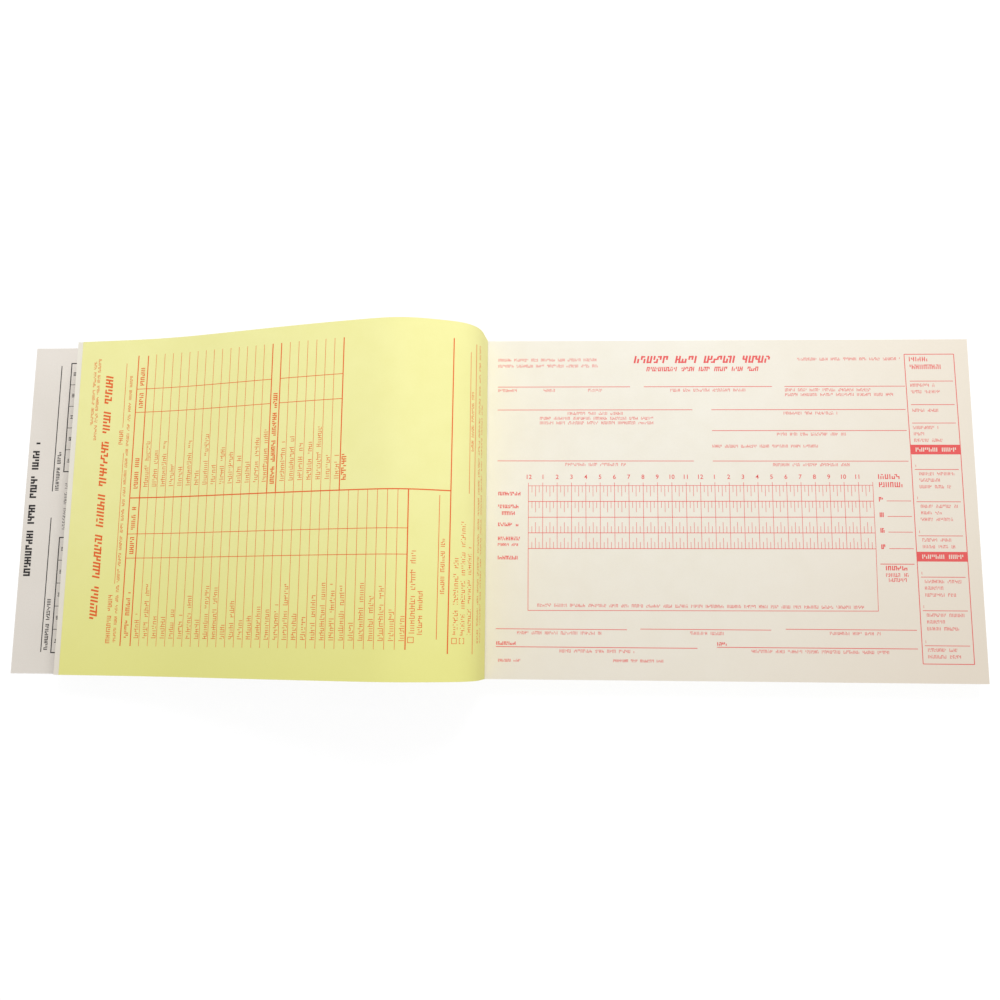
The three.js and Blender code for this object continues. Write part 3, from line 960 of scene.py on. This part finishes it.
# The camera sees most of the way through the floor to the white world behind it, so the back cover
# still shows where it turns down past the floor, and so does the underside of the book from below.
def makeFloor():
    half = stage["floorSize"] / 2 / mm
    level = cadBox[0].z / mm - stage["floorDrop"]
    points = np.array([[-half, -half, level], [half, -half, level],
                       [half, half, level], [-half, half, level]]) * mm
    finish = Finish("floor", Roughness=stage["floorRough"], Specular_IOR_Level=0.0,
                    Base_Color=stage["floorTone"])
    haze = finish.node(
        "ShaderNodeEmission", {}, {"Color": (1, 1, 1, 1), "Strength": stage["floorHaze"]})
    clear = finish.node("ShaderNodeBsdfTransparent", {}, {})
    through = finish.node("ShaderNodeAddShader", {}, {0: clear.outputs[0], 1: haze.outputs[0]})
    rays = finish.node("ShaderNodeLightPath", {}, {}).outputs
    seen, glossy, passed = (Reading(finish, rays[name]) for name in (
        "Is Camera Ray", "Is Glossy Ray", "Is Transmission Ray"))
    asked = (seen + glossy + passed).clipped()
    mixed = finish.node("ShaderNodeMixShader", {}, {
        0: asked * stage["floorClear"], 1: finish.shader.outputs[0], 2: through.outputs[0]})
    finish.feed(finish.tree.nodes["Material Output"].inputs["Surface"], mixed.outputs[0])
    floor = meshPiece("floor", points, np.array([[0, 1, 2, 3]]), finish.material)


def makeWorld():
    world = bpy.data.worlds.new("studio")
    bpy.context.scene.world = world
    world.use_nodes = True
    tree = world.node_tree
    background = tree.nodes["Background"]
    rays = tree.nodes.new("ShaderNodeLightPath")
    asked = rays.outputs["Is Camera Ray"]  # that, a glossy or a transmission ray: each is 0 or 1
    for ray in ("Is Glossy Ray", "Is Transmission Ray"):
        either = tree.nodes.new("ShaderNodeMath")
        either.operation = "MAXIMUM"
        tree.links.new(asked, either.inputs[0])
        tree.links.new(rays.outputs[ray], either.inputs[1])
        asked = either.outputs[0]
    strength = tree.nodes.new("ShaderNodeMapRange")
    tree.links.new(asked, strength.inputs["Value"])
    strength.inputs["To Min"].default_value = stage["worldLight"]
    strength.inputs["To Max"].default_value = 1.0
    background.inputs["Color"].default_value = (1, 1, 1, 1)
    tree.links.new(strength.outputs[0], background.inputs["Strength"])


def makeLamp(name, place, size, power):
    lamp = bpy.data.lights.new(name, "AREA")
    lamp.shape, lamp.size, lamp.energy = "DISK", size, power
    made = bpy.data.objects.new(name, lamp)
    made.location = place
    made.rotation_euler = (-Vector(place)).to_track_quat("-Z", "Y").to_euler()
    bpy.context.scene.collection.objects.link(made)


makeFloor()
makeWorld()
makeLamp("key", stage["keyPlace"], stage["keySize"], stage["keyPower"])
makeLamp("fill", stage["fillPlace"], stage["fillSize"], stage["fillPower"])

# Camera: above the book, a little to the front, as fitted to the corners and edges of the pages.
# "place" is in millimetres from the tear line on the open page, "turn" in degrees and "clip" in
# metres.
camera = {
    "lens": 33.1, "sensor": 36.0, "clip": (0.01, 20),
    "place": (21.0, -51.3, 373.0), "turn": (-8.19, -2.30, -0.14),
}
view = bpy.data.objects.new("camera", bpy.data.cameras.new("camera"))
view.data.lens, view.data.sensor_width = camera["lens"], camera["sensor"]
view.data.clip_start, view.data.clip_end = camera["clip"]
turn = Euler([math.radians(a) for a in camera["turn"]], "XYZ").to_matrix().transposed()
place = (Vector(camera["place"]) + Vector((tearLine, 0, pageLevel))) * mm
view.matrix_world = Matrix.Translation(place) @ turn.to_4x4()
bpy.context.scene.collection.objects.link(view)
bpy.context.scene.camera = view
bpy.context.scene.view_settings.view_transform = "Standard"
print("stage set")
